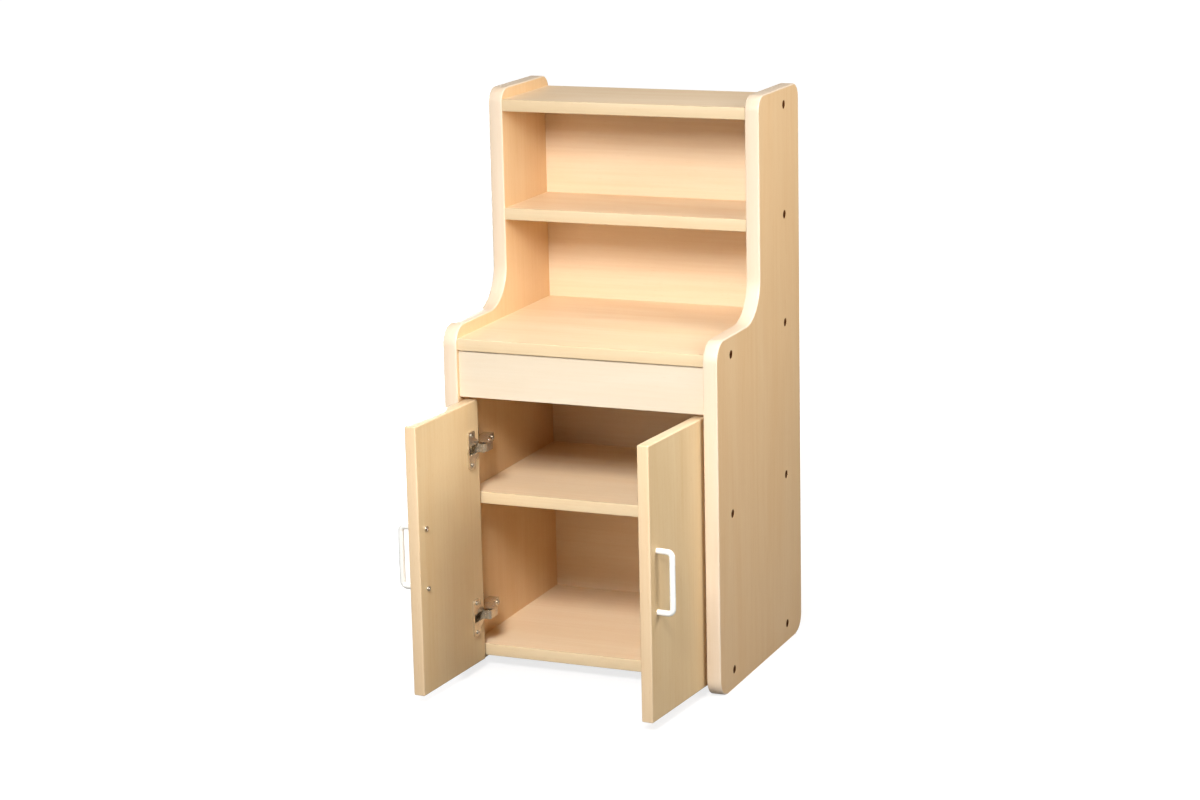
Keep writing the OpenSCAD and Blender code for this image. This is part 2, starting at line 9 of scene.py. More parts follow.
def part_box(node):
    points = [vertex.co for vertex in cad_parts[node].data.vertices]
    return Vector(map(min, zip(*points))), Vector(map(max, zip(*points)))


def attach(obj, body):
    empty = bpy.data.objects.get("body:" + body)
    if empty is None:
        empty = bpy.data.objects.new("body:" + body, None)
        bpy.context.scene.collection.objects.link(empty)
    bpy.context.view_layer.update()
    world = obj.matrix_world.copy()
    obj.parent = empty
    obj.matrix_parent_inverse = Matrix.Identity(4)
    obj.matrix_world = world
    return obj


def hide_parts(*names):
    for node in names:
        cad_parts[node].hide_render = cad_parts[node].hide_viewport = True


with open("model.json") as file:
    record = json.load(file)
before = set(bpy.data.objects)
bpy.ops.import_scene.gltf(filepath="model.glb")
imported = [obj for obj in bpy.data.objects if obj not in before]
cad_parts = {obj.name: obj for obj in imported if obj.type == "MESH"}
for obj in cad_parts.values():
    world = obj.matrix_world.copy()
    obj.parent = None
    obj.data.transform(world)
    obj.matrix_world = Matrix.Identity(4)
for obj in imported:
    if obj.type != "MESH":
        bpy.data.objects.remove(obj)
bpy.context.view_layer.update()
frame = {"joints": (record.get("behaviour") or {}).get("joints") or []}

bl_info = {
    "name": "Hutch Cupboard Dresser",
    "version": (1, 0, 0),
    "blender": (4, 5, 0),
    "location": "View3D > Sidebar > Cupboard",
    "description": "Dresses a hutch cupboard in maple board, pale edge bands and nickel hinges",
    "category": "Object",
}

SIDES = ("left", "right")
LEVELS = ("upper", "lower")
HINGES = {side: next(joint for joint in frame["joints"] if joint["name"] == side + "_door_hinge")
          for side in SIDES}
# Both doors are drawn open, and each joint's lower limit is the shut door
DRAWN_OPENING = {side: radians(-HINGES[side]["range_deg"][0]) for side in SIDES}

QUARTER_TURN = radians(90)
# Steps in each rounded corner of a side, as many as keep its outline smooth
CORNER_STEPS = {"foot": 16, "shoulder": 18, "hollow": 26, "top": 16}
# Easing of the metal edges, in metres
CUP_EASE, ARM_EASE, PLATE_EASE, SCREW_EASE, CONNECTOR_EASE = 0.0005, 0.0003, 0.0004, 0.0004, 0.0005
# The handle: easing of its ends in metres, sides of its round rod and steps in each bend
BOW_EASE, ROD_SIDES, BEND_STEPS = 0.0005, 32, 12
# Doubled points are merged within this, in metres; a frame node's copy needs a little more
MERGE_WITHIN, COPY_MERGE_WITHIN = 1e-6, 2e-6

# Each board finish: its tone, the axis of its grain, the depth and shift of its figure,
# then the coordinates, the weight and the roughness of its coat where they aren't the usual ones
MAPLE_FINISHES = {
    # Painted shade: the sides' faces are the same maple laminate as the other boards, given a
    # deeper, more saturated tone because they stand in shade
    "Side maple": ("side_maple", "Z", 0.42, 0.0),
    "Door maple": ("door_maple", "Z", 0.45, 3.1),
    "Shelf maple": ("shelf_maple", "X", 0.4, 5.7),
    "Back maple": ("back_maple", "X", 0.4, 8.3),
    # Painted light: the apron is the same maple laminate, given a paler, greyer tone because the
    # front light falls brightest on it
    "Apron maple": ("apron_maple", "X", 0.22, 11.9),
    # Painted light: the sides' edge bands get a paler, greyer tone because their fronts face the
    # bright front light
    "Side band": ("side_band", "Y", 0.3, 2.3, "UV", 0.3, 0.2),
    "Shelf band": ("shelf_band", "X", 0.4, 7.1, "Object", 0.6, 0.16),
    "Door band": ("door_band", "Z", 0.4, 9.4, "Object", 0.6, 0.16),
    "Dowel beech": ("dowel_beech", "X", 1.0, 4.2),
}
# Each steel finish: its tone, its tarnish, how metallic it is and how dull
STEEL_FINISHES = {
    "Hinge nickel": ("nickel", 0.35, 0.8),
    "Zinc screw": ("zinc", 0.2),
    "Burnished screw": ("burnished", 0.5, 0.0, 0.4),
}

# Relief of each finish: its depth in metres and its strength
BOARD_RELIEF, STEEL_RELIEF, COAT_RELIEF = (0.00008, 0.35), (0.00003, 0.3), (0.00006, 0.3)
# How much the marks of use lift the roughness
BOARD_WEAR, COAT_WEAR = 0.08, 0.1
BOARD_SPECULAR, COAT_ROUGHNESS, FLOOR_ROUGHNESS = 0.32, 0.24, 0.8

# Each lamp: its name, place and aim, its width, its spread in degrees and its power's property
LAMPS = (
    ("key lamp", (0.31, -1.76, 1.68), (-0.02, 0.0, 0.12), 0.6, 90, "key_power"),
    ("high side lamp", (1.5, 0.25, 1.75), (0.1, 0.0, 0.6), 0.7, 180, "high_power"),
    ("low side lamp", (1.7, -0.3, 1.1), (0.2, 0.1, 0.8), 0.7, 100, "low_power"),
    ("front lamp", (-0.9, -3.6, 1.3), (0.0, 0.0, 0.45), 1.6, 180, "front_power"),
    ("top lamp", (0.1, 0.0, 2.6), (0.0, 0.1, 0.5), 0.8, 180, "top_power"),
    ("back lamp", (-1.9, 2.3, 0.7), (0.0, 0.2, 0.45), 1.0, 180, "back_power"),
)
FLOOR_HALF_WIDTH = 12
FLOOR_GREYS = ((0.21, 0.21, 0.21, 1), (0.23, 0.23, 0.23, 1))
# The floor's own glow for the camera: this much near the cupboard, and from the first
# distance to the second, in metres, it rises to white
GLOW_NEAR, GLOW_FROM, GLOW_TO = 0.78, 0.4, 1.5
WARM_SKY, WHITE = (1, 0.76, 0.5, 1), (1, 1, 1, 1)
# How much of the white sky the metal and the satin boards mirror
MIRRORED_SKY = 0.5
# Width of the picture in millimetres at the lens's focal length
FILM_WIDTH = 36


def tint(red, green, blue):
    """A colour given as 0 to 255 screen values, as a linear colour for a shader."""
    channels = [c / 255 for c in (red, green, blue)]
    linear = [c / 12.92 if c <= 0.04045 else ((c + 0.055) / 1.055) ** 2.4 for c in channels]
    return (*linear, 1.0)


class CupboardShape(bpy.types.PropertyGroup):
    foot_radius: FloatProperty(
        name="Foot radius", description="Radius of the lower corners of the sides",
        default=0.029, min=0.01, max=0.036, subtype="DISTANCE", unit="LENGTH")
    top_radius: FloatProperty(
        name="Top radius", description="Radius of the upper corners of the sides",
        default=0.024, min=0.012, max=0.036, subtype="DISTANCE", unit="LENGTH")
    shoulder_radius: FloatProperty(
        name="Shoulder radius", description="Radius of the shoulders beside the counter",
        default=0.032, min=0.012, max=0.044, subtype="DISTANCE", unit="LENGTH")
    hollow_radius: FloatProperty(
        name="Hollow radius", description="Radius of the hollow above the shoulders",
        default=0.064, min=0.036, max=0.08, subtype="DISTANCE", unit="LENGTH")
    upper_depth: FloatProperty(
        name="Upper depth", description="Depth of the sides above the counter",
        default=0.189, min=0.16, max=0.23, subtype="DISTANCE", unit="LENGTH")
    shoulder_height: FloatProperty(
        name="Shoulder height", description="Height of the shoulders above the floor",
        default=0.566, min=0.5, max=0.62, subtype="DISTANCE", unit="LENGTH")
    band_thickness: FloatProperty(
        name="Band thickness", description="Thickness of the edge bands",
        default=0.002, min=0.001, max=0.0025, subtype="DISTANCE", unit="LENGTH")
    arris_steps: IntProperty(
        name="Arris steps", description="Steps in each rounded arris", default=4, min=1, max=8)
    shelf_arris: FloatProperty(
        name="Shelf arris", description="Rounding of the boards' front arrises",
        default=0.001, min=0.0004, max=0.001, subtype="DISTANCE", unit="LENGTH")
    door_arris: FloatProperty(
        name="Door arris", description="Rounding of the doors' edges",
        default=0.0019, min=0.001, max=0.0025, subtype="DISTANCE", unit="LENGTH")
    door_width: FloatProperty(
        name="Door width", description="Width of each door",
        default=0.203, min=0.15, max=0.25, subtype="DISTANCE", unit="LENGTH")
    door_thickness: FloatProperty(
        name="Door thickness", description="Thickness of each door",
        default=0.019, min=0.018, max=0.021, subtype="DISTANCE", unit="LENGTH")
    pin_inset: FloatProperty(
        name="Pin inset", description="Hinge pin to the door's hinge edge",
        default=0.010, min=0.008, max=0.014, subtype="DISTANCE", unit="LENGTH")
    pin_depth: FloatProperty(
        name="Pin depth", description="Hinge pin to the door's outer face",
        default=0.009, min=0.007, max=0.012, subtype="DISTANCE", unit="LENGTH")
    left_opening: FloatProperty(
        name="Left opening", description="Opening angle of the left door at rest",
        default=DRAWN_OPENING["left"], min=radians(60), max=radians(98),
        subtype="ANGLE", unit="ROTATION")
    right_opening: FloatProperty(
        name="Right opening", description="Opening angle of the right door at rest",
        default=DRAWN_OPENING["right"], min=radians(60), max=radians(98),
        subtype="ANGLE", unit="ROTATION")
    handle_pitch: FloatProperty(
        name="Handle pitch", description="Distance between the handle's screws",
        default=0.096, min=0.064, max=0.16, subtype="DISTANCE", unit="LENGTH")
    handle_inset: FloatProperty(
        name="Handle inset", description="Handle to the door's free edge",
        default=0.023, min=0.018, max=0.04, subtype="DISTANCE", unit="LENGTH")
    handle_rod: FloatProperty(
        name="Handle rod", description="Thickness of the handle's rod",
        default=0.009, min=0.008, max=0.012, subtype="DISTANCE", unit="LENGTH")
    handle_reach: FloatProperty(
        name="Handle reach", description="How far the handle stands out",
        default=0.030, min=0.026, max=0.04, subtype="DISTANCE", unit="LENGTH")
    handle_bend: FloatProperty(
        name="Handle bend", description="Bend radius at the middle of the handle's rod",
        default=0.008, min=0.006, max=0.012, subtype="DISTANCE", unit="LENGTH")


class CupboardFinish(bpy.types.PropertyGroup):
    # Painted shade: a deeper, more saturated maple tone for the sides' faces, which stand in shade
    side_maple: FloatVectorProperty(
        name="Side maple", description="Colour of the sides' faces", subtype="COLOR", size=4,
        default=tint(232, 198, 153), min=0, max=1)
    door_maple: FloatVectorProperty(
        name="Door maple", description="Colour of the doors' faces", subtype="COLOR", size=4,
        default=tint(228, 201, 157), min=0, max=1)
    shelf_maple: FloatVectorProperty(
        name="Shelf maple", description="Colour of the boards' faces", subtype="COLOR", size=4,
        default=tint(241, 217, 184), min=0, max=1)
    back_maple: FloatVectorProperty(
        name="Back maple", description="Colour of the back panel", subtype="COLOR", size=4,
        default=tint(236, 214, 184), min=0, max=1)
    # Painted light: a paler, greyer maple tone for the apron, where the front light falls brightest
    apron_maple: FloatVectorProperty(
        name="Apron maple", description="Colour of the apron", subtype="COLOR", size=4,
        default=tint(222, 209, 188), min=0, max=1)
    # Painted light: a paler, greyer tone for the sides' edge bands, whose fronts face the bright
    # front light
    side_band: FloatVectorProperty(
        name="Side band", description="Colour of the sides' edge bands", subtype="COLOR", size=4,
        default=tint(231, 212, 189), min=0, max=1)
    shelf_band: FloatVectorProperty(
        name="Shelf band", description="Colour of the boards' edge bands", subtype="COLOR", size=4,
        default=tint(224, 203, 168), min=0, max=1)
    door_band: FloatVectorProperty(
        name="Door band", description="Colour of the doors' edge bands", subtype="COLOR", size=4,
        default=tint(230, 204, 168), min=0, max=1)
    handle_white: FloatVectorProperty(
        name="Handle white", description="Colour of the handles", subtype="COLOR", size=4,
        default=tint(242, 242, 238), min=0, max=1)
    nickel: FloatVectorProperty(
        name="Nickel", description="Colour of the hinges", subtype="COLOR", size=4,
        default=tint(222, 208, 184), min=0, max=1)
    zinc: FloatVectorProperty(
        name="Zinc", description="Colour of the small screws", subtype="COLOR", size=4,
        default=tint(214, 214, 210), min=0, max=1)
    burnished: FloatVectorProperty(
        name="Burnished", description="Colour of the connector screws", subtype="COLOR", size=4,
        default=tint(84, 46, 14), min=0, max=1)
    dowel_beech: FloatVectorProperty(
        name="Dowel beech", description="Colour of the dowels", subtype="COLOR", size=4,
        default=tint(214, 182, 140), min=0, max=1)


class CupboardStage(bpy.types.PropertyGroup):
    camera_place: FloatVectorProperty(
        name="Camera place", description="Where the camera stands",
        default=(1.78242, -4.19792, 1.5154), size=3, subtype="TRANSLATION", unit="LENGTH")
    camera_yaw: FloatProperty(
        name="Camera yaw", description="Turn of the camera to the left",
        default=radians(23.02), subtype="ANGLE", unit="ROTATION")
    camera_pitch: FloatProperty(
        name="Camera pitch", description="Tilt of the camera downwards",
        default=radians(13.28), subtype="ANGLE", unit="ROTATION")
    camera_roll: FloatProperty(
        name="Camera roll", description="Roll of the camera",
        default=radians(-1.28), subtype="ANGLE", unit="ROTATION")
    lens: FloatProperty(
        name="Lens", description="Focal length for a 36 mm frame",
        default=88.776, min=20, max=300, subtype="DISTANCE_CAMERA", unit="CAMERA")
    key_power: FloatProperty(
        name="Key power", description="Strength of the main soft lamp in watts",
        default=15, min=0, max=1000, subtype="POWER", unit="POWER")
    high_power: FloatProperty(
        name="High power", description="Strength of the high lamp on the right in watts",
        default=8, min=0, max=1000, subtype="POWER", unit="POWER")
    low_power: FloatProperty(
        name="Low power", description="Strength of the low lamp on the right in watts",
        default=6.2, min=0, max=1000, subtype="POWER", unit="POWER")
    front_power: FloatProperty(
        name="Front power", description="Strength of the weak lamp at the front in watts",
        default=15.5, min=0, max=1000, subtype="POWER", unit="POWER")
    top_power: FloatProperty(
        name="Top power", description="Strength of the weak lamp overhead in watts",
        default=7.5, min=0, max=1000, subtype="POWER", unit="POWER")
    back_power: FloatProperty(
        name="Back power", description="Strength of the lamp behind the cupboard in watts",
        default=75, min=0, max=1000, subtype="POWER", unit="POWER")
    sky_level: FloatProperty(
        name="Sky level", description="Strength of the even light from all round",
        default=0.04, min=0, max=2)


# Node helpers

def node_at(tree, kind, x, y, label=None, **values):
    node = tree.nodes.new(kind)
    node.location = (x, y)
    if label:
        node.label = label
    for name, value in values.items():
        setattr(node, name, value)
    return node


def new_group(name, inputs, outputs):
    group = bpy.data.node_groups.new(name, "ShaderNodeTree")
    for label, kind, default in inputs:
        socket = group.interface.new_socket(name=label, in_out="INPUT", socket_type=kind)
        if default is not None:
            socket.default_value = default
    for label, kind in outputs:
        group.interface.new_socket(name=label, in_out="OUTPUT", socket_type=kind)
    start = node_at(group, "NodeGroupInput", -1100, 0)
    return group, start, node_at(group, "NodeGroupOutput", 700, 0)


def stretched_noise(tree, vector, x, y, across, along, detail, roughness, distortion, label):
    """Noise drawn out along Z, so that it runs with the grain."""
    squeeze = node_at(tree, "ShaderNodeVectorMath", x, y, label, operation="MULTIPLY")
    squeeze.inputs[1].default_value = (across, across, along)
    noise = node_at(tree, "ShaderNodeTexNoise", x + 180, y)
    noise.inputs["Scale"].default_value = 1.0
    noise.inputs["Detail"].default_value = detail
    noise.inputs["Roughness"].default_value = roughness
    noise.inputs["Distortion"].default_value = distortion
    tree.links.new(vector, squeeze.inputs[0])
    tree.links.new(squeeze.outputs["Vector"], noise.inputs["Vector"])
    return noise.outputs["Fac"]


def spread(tree, value, x, y, low, high, to_low=0.0, to_high=1.0):
    remap = node_at(tree, "ShaderNodeMapRange", x, y)
    remap.inputs["From Min"].default_value = low
    remap.inputs["From Max"].default_value = high
    remap.inputs["To Min"].default_value = to_low
    remap.inputs["To Max"].default_value = to_high
    tree.links.new(value, remap.inputs["Value"])
    return remap.outputs["Result"]


def maths(tree, kind, x, y, first, second):
    node = node_at(tree, "ShaderNodeMath", x, y, operation=kind)
    for socket, value in zip(node.inputs, (first, second)):
        if isinstance(value, (int, float)):
            socket.default_value = value
        else:
            tree.links.new(value, socket)
    return node.outputs["Value"]


def blend_colour(tree, x, y, factor, first, second, mode="MIX"):
    mix = node_at(tree, "ShaderNodeMix", x, y, data_type="RGBA", blend_type=mode)
    sockets = (mix.inputs[0], mix.inputs[6], mix.inputs[7])
    for socket, value in zip(sockets, (factor, first, second)):
        if isinstance(value, (int, float, tuple)):
            socket.default_value = value
        else:
            tree.links.new(value, socket)
    return mix.outputs[2]


def grain_group():
    """Maple figure along Z: slow cloudy bands, fine streaks and short dark flecks."""
    found = bpy.data.node_groups.get("Maple grain")
    if found:
        return found
    group, start, end = new_group(
        "Maple grain",
        [("Vector", "NodeSocketVector", None), ("Pale", "NodeSocketColor", (0.8, 0.6, 0.4, 1)),
         ("Depth", "NodeSocketFloat", 1.0), ("Shift", "NodeSocketFloat", 0.0)],
        [("Color", "NodeSocketColor"), ("Height", "NodeSocketFloat"),
         ("Roughness", "NodeSocketFloat")])
    offset = node_at(group, "ShaderNodeCombineXYZ", -920, -160, "piece offset")
    group.links.new(start.outputs["Shift"], offset.inputs["X"])
    group.links.new(start.outputs["Shift"], offset.inputs["Z"])
    moved = node_at(group, "ShaderNodeVectorMath", -760, 0, operation="ADD")
    group.links.new(start.outputs["Vector"], moved.inputs[0])
    group.links.new(offset.outputs["Vector"], moved.inputs[1])
    place = moved.outputs["Vector"]
    clouds = stretched_noise(group, place, -560, 320, 16, 2.2, 4, 0.5, 0.6, "cloudy bands")
    streaks = stretched_noise(group, place, -560, 80, 190, 5, 5, 0.62, 0.3, "fine streaks")
    flecks = stretched_noise(group, place, -560, -160, 1100, 75, 2, 0.5, 0.0, "short flecks")
    cloud_part = spread(group, clouds, -180, 320, 0.34, 0.68)
    streak_part = spread(group, streaks, -180, 80, 0.36, 0.7)
    fleck_part = spread(group, flecks, -180, -160, 0.64, 0.74)
    depth = start.outputs["Depth"]
    toned = blend_colour(group, 60, 320, maths(group, "MULTIPLY", 0, 420, cloud_part, depth),
                         start.outputs["Pale"], tint(243, 231, 214), "MULTIPLY")
    lined = blend_colour(group, 240, 200, maths(group, "MULTIPLY", 60, 120, streak_part, depth),
                         toned, tint(245, 236, 222), "MULTIPLY")
    flecked = blend_colour(group, 420, 100, maths(group, "MULTIPLY", 240, 0, fleck_part, depth),
                           lined, tint(232, 214, 190), "MULTIPLY")
    group.links.new(flecked, end.inputs["Color"])
    relief = maths(group, "ADD", 240, -160, maths(group, "MULTIPLY", 60, -160, streak_part, 0.6),
                   maths(group, "MULTIPLY", 60, -320, fleck_part, -0.5))
    group.links.new(relief, end.inputs["Height"])
    group.links.new(spread(group, clouds, 240, -340, 0.3, 0.7, 0.36, 0.46), end.inputs["Roughness"])
    return group


def handling_group():
    """Faint smudges and hairlines of use, as a mask that lifts the roughness."""
    found = bpy.data.node_groups.get("Handling marks")
    if found:
        return found
    group, start, end = new_group(
        "Handling marks",
        [("Vector", "NodeSocketVector", None), ("Amount", "NodeSocketFloat", 0.1)],
        [("Roughness", "NodeSocketFloat"), ("Height", "NodeSocketFloat")])
    smudge = node_at(group, "ShaderNodeTexNoise", -500, 160, "smudges")
    smudge.inputs["Scale"].default_value = 14
    smudge.inputs["Detail"].default_value = 3
    skin = node_at(group, "ShaderNodeTexNoise", -500, -120, "pressed skin")
    skin.inputs["Scale"].default_value = 900
    skin.inputs["Detail"].default_value = 1
    for noise in (smudge, skin):
        group.links.new(start.outputs["Vector"], noise.inputs["Vector"])
    smudged = spread(group, smudge.outputs["Fac"], -200, 160, 0.4, 0.7)
    group.links.new(maths(group, "MULTIPLY", 240, 160, smudged, start.outputs["Amount"]),
                    end.inputs["Roughness"])
    group.links.new(skin.outputs["Fac"], end.inputs["Height"])
    return group


def brushed_group():
    """Rolled and brushed steel: fine lines along Z and a cloudy tarnish."""
    found = bpy.data.node_groups.get("Brushed steel marks")
    if found:
        return found
    group, start, end = new_group(
        "Brushed steel marks",
        [("Vector", "NodeSocketVector", None), ("Metal", "NodeSocketColor", (0.5, 0.5, 0.5, 1)),
         ("Tarnish", "NodeSocketFloat", 0.3)],
        [("Color", "NodeSocketColor"), ("Roughness", "NodeSocketFloat"),
         ("Height", "NodeSocketFloat")])
    place = start.outputs["Vector"]
    lines = stretched_noise(group, place, -560, 160, 2600, 160, 3, 0.6, 0.0, "brush lines")
    cloud = stretched_noise(group, place, -560, -120, 90, 90, 3, 0.55, 0.3, "tarnish")
    cloud_part = maths(group, "MULTIPLY", 0, -120, spread(group, cloud, -180, -120, 0.42, 0.7),
                       start.outputs["Tarnish"])
    group.links.new(blend_colour(group, 240, 160, cloud_part, start.outputs["Metal"],
                                 tint(150, 128, 104), "MULTIPLY"), end.inputs["Color"])
    rough = maths(group, "ADD", 240, -160, spread(group, lines, 0, 60, 0.3, 0.7, 0.13, 0.26),
                  maths(group, "MULTIPLY", 120, -260, cloud_part, 0.2))
    group.links.new(rough, end.inputs["Roughness"])
    group.links.new(lines, end.inputs["Height"])
    return group


def fresh_material(name):
    material = bpy.data.materials.new(name)
    material.use_nodes = True
    tree = material.node_tree
    return material, tree, tree.nodes["Principled BSDF"]


def join_bump(tree, shader, height, relief):
    distance, strength = relief
    bump = node_at(tree, "ShaderNodeBump", -220, -320)
    bump.inputs["Distance"].default_value = distance
    bump.inputs["Strength"].default_value = strength
    tree.links.new(height, bump.inputs["Height"])
    tree.links.new(bump.outputs["Normal"], shader.inputs["Normal"])


def grain_place(tree, along, source="Object"):
    """Coordinates turned so that the grain, drawn along Z, runs along the given axis."""
    coords = node_at(tree, "ShaderNodeTexCoord", -1200, 0)
    turn = node_at(tree, "ShaderNodeMapping", -1000, 0, "grain " + along)
    turns = {"Z": (0, 0, 0), "X": (0, QUARTER_TURN, 0), "Y": (QUARTER_TURN, 0, 0)}
    turn.inputs["Rotation"].default_value = turns[along]
    tree.links.new(coords.outputs[source], turn.inputs["Vector"])
    return turn.outputs["Vector"]


def maple_material(name, colour, along, depth, shift,
                   source="Object", coat=0.06, coat_roughness=0.3):
    """Satin maple-faced board, or its edge band."""
    material, tree, shader = fresh_material(name)
    place = grain_place(tree, along, source)
    grain = node_at(tree, "ShaderNodeGroup", -700, 100, node_tree=grain_group())
    grain.inputs["Pale"].default_value = tuple(colour)
    grain.inputs["Depth"].default_value = depth
    grain.inputs["Shift"].default_value = shift
    marks = node_at(tree, "ShaderNodeGroup", -700, -200, node_tree=handling_group())
    marks.inputs["Amount"].default_value = BOARD_WEAR
    tree.links.new(place, grain.inputs["Vector"])
    tree.links.new(place, marks.inputs["Vector"])
    tree.links.new(grain.outputs["Color"], shader.inputs["Base Color"])
    rough = maths(tree, "ADD", -420, -60, grain.outputs["Roughness"], marks.outputs["Roughness"])
    tree.links.new(rough, shader.inputs["Roughness"])
    height = maths(tree, "ADD", -420, -320, grain.outputs["Height"],
                   maths(tree, "MULTIPLY", -560, -400, marks.outputs["Height"], 0.5))
    join_bump(tree, shader, height, BOARD_RELIEF)
    shader.inputs["Specular IOR Level"].default_value = BOARD_SPECULAR
    shader.inputs["Coat Weight"].default_value = coat
    shader.inputs["Coat Roughness"].default_value = coat_roughness
    return material


def steel_material(name, colour, tarnish, metallic=1.0, dull=0.0):
    """Plated or burnished steel with fine brushed lines."""
    material, tree, shader = fresh_material(name)
    coords = node_at(tree, "ShaderNodeTexCoord", -1000, 0)
    marks = node_at(tree, "ShaderNodeGroup", -640, 0, node_tree=brushed_group())
    marks.inputs["Metal"].default_value = tuple(colour)
    marks.inputs["Tarnish"].default_value = tarnish
    tree.links.new(coords.outputs["Object"], marks.inputs["Vector"])
    tree.links.new(marks.outputs["Color"], shader.inputs["Base Color"])
    rough = maths(tree, "ADD", -300, -160, marks.outputs["Roughness"], dull)
    tree.links.new(rough, shader.inputs["Roughness"])
    join_bump(tree, shader, marks.outputs["Height"], STEEL_RELIEF)
    shader.inputs["Metallic"].default_value = metallic
    shader.inputs["Specular IOR Level"].default_value = 0.5 - dull
    return material


def coated_material(name, colour):
    """White powder coat: a faint dimpled skin under a gloss."""
    material, tree, shader = fresh_material(name)
    coords = node_at(tree, "ShaderNodeTexCoord", -1000, 0)
    marks = node_at(tree, "ShaderNodeGroup", -700, -160, node_tree=handling_group())
    marks.inputs["Amount"].default_value = COAT_WEAR
    dimples = node_at(tree, "ShaderNodeTexNoise", -700, 160, "dimples")
    dimples.inputs["Scale"].default_value = 520
    dimples.inputs["Detail"].default_value = 2
    for socket in (marks.inputs["Vector"], dimples.inputs["Vector"]):
        tree.links.new(coords.outputs["Object"], socket)
    dimpled = spread(tree, dimples.outputs["Fac"], -500, 260, 0.35, 0.65, 0.0, 0.35)
    darker = tuple(c * 0.93 for c in colour[:3]) + (1.0,)
    tone = blend_colour(tree, -300, 200, dimpled, tuple(colour), darker)
    tree.links.new(tone, shader.inputs["Base Color"])
    rough = maths(tree, "ADD", -300, -60, marks.outputs["Roughness"], COAT_ROUGHNESS)
    tree.links.new(rough, shader.inputs["Roughness"])
    join_bump(tree, shader, dimples.outputs["Fac"], COAT_RELIEF)
    return material


def finish(name):
    """The material of that name, made the first time it is asked for."""
    found = bpy.data.materials.get(name)
    if found:
        return found
    tones = bpy.context.scene.cupboard_finish
    if name in MAPLE_FINISHES:
        tone, *figure = MAPLE_FINISHES[name]
        return maple_material(name, getattr(tones, tone), *figure)
    if name in STEEL_FINISHES:
        tone, *wear = STEEL_FINISHES[name]
        return steel_material(name, getattr(tones, tone), *wear)
    return coated_material(name, tones.handle_white)


def dress(node, material):
    """Puts one material on a node of the frame."""
    slots = bpy.data.objects[node].data.materials
    slots.clear()
    slots.append(finish(material))


# Mesh helpers

def add_piece(name, mesh_maker, material, body, nodes, smooth_angle=40):
    """Makes an object at the origin from a bmesh that mesh_maker fills in."""
    work = bmesh.new()
    mesh_maker(work)
    bmesh.ops.remove_doubles(work, verts=work.verts, dist=MERGE_WITHIN)
    bmesh.ops.recalc_face_normals(work, faces=work.faces)
    mesh = bpy.data.meshes.new(name)
    work.to_mesh(mesh)
    work.free()
    piece = bpy.data.objects.new(name, mesh)
    bpy.context.scene.collection.objects.link(piece)
    mesh.materials.append(finish(material))
    mesh.shade_smooth()
    mesh.set_sharp_from_angle(angle=radians(smooth_angle))
    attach(piece, body)
    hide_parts(*nodes)
    return piece


def corners(node):
    low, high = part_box(node)
    return Vector(low), Vector(high)


def box_into(work, low, high):
    """A plain box between two corners; returns its vertices."""
    middle, size = (Vector(low) + Vector(high)) / 2, Vector(high) - Vector(low)
    place = Matrix.Translation(middle) @ Matrix.Diagonal((*size, 1.0))
    return bmesh.ops.create_cube(work, size=1.0, matrix=place)["verts"]


def edges_along(verts, axis, test):
    """The edges among verts that run along one axis and whose middle passes the test."""
    found = []
    for edge in dict.fromkeys(e for v in verts for e in v.link_edges):
        a, b = edge.verts
        run = b.co - a.co
        if abs(run[axis]) > 0.9 * run.length and test((a.co + b.co) / 2):
            found.append(edge)
    return found


def round_edges(work, edges, radius, steps):
    bmesh.ops.bevel(work, geom=edges, offset=radius, offset_type="OFFSET", affect="EDGES",
                    segments=steps, profile=0.5, material=-1, clamp_overlap=True)


def only(kind, geometry):
    """The vertices, edges or faces among some geometry."""
    return [part for part in geometry if isinstance(part, kind)]


def pushed(work, edges, move, grow=None):
    """Extrudes edges, grows the new ones about their middle if asked, and moves them."""
    made = bmesh.ops.extrude_edge_only(work, edges=edges)["geom"]
    verts = only(bmesh.types.BMVert, made)
    if grow:
        middle = sum((v.co for v in verts), Vector()) / len(verts)
        bmesh.ops.scale(work, verts=verts, vec=(grow, grow, grow),
                        space=Matrix.Translation(-middle))
    bmesh.ops.translate(work, verts=verts, vec=move)
    return only(bmesh.types.BMEdge, made)


def spun(work, edges, centre, angle, steps):
    """Spins edges about a line along X; returns the last ones."""
    made = bmesh.ops.spin(work, geom=edges, cent=centre, axis=(1, 0, 0), angle=angle, steps=steps,
                          use_merge=False, use_duplicate=False)
    return only(bmesh.types.BMEdge, made["geom_last"])


def door_frame(side):
    """From a closed door's own place (along it, depth from its face, height) to where it hangs."""
    shape = bpy.context.scene.cupboard_shape
    hinge = HINGES[side]["pos_m"]
    opening = shape.left_opening if side == "left" else shape.right_opening
    from_pin = Matrix.Translation((-shape.pin_inset, -shape.pin_depth, 0))
    turn = Matrix.Rotation(-opening, 4, "Z") @ from_pin
    flip = Matrix.Identity(4) if side == "left" else Matrix.Scale(-1, 4, (1, 0, 0))
    return Matrix.Translation((hinge[0], hinge[1], 0)) @ flip @ turn


# Pieces

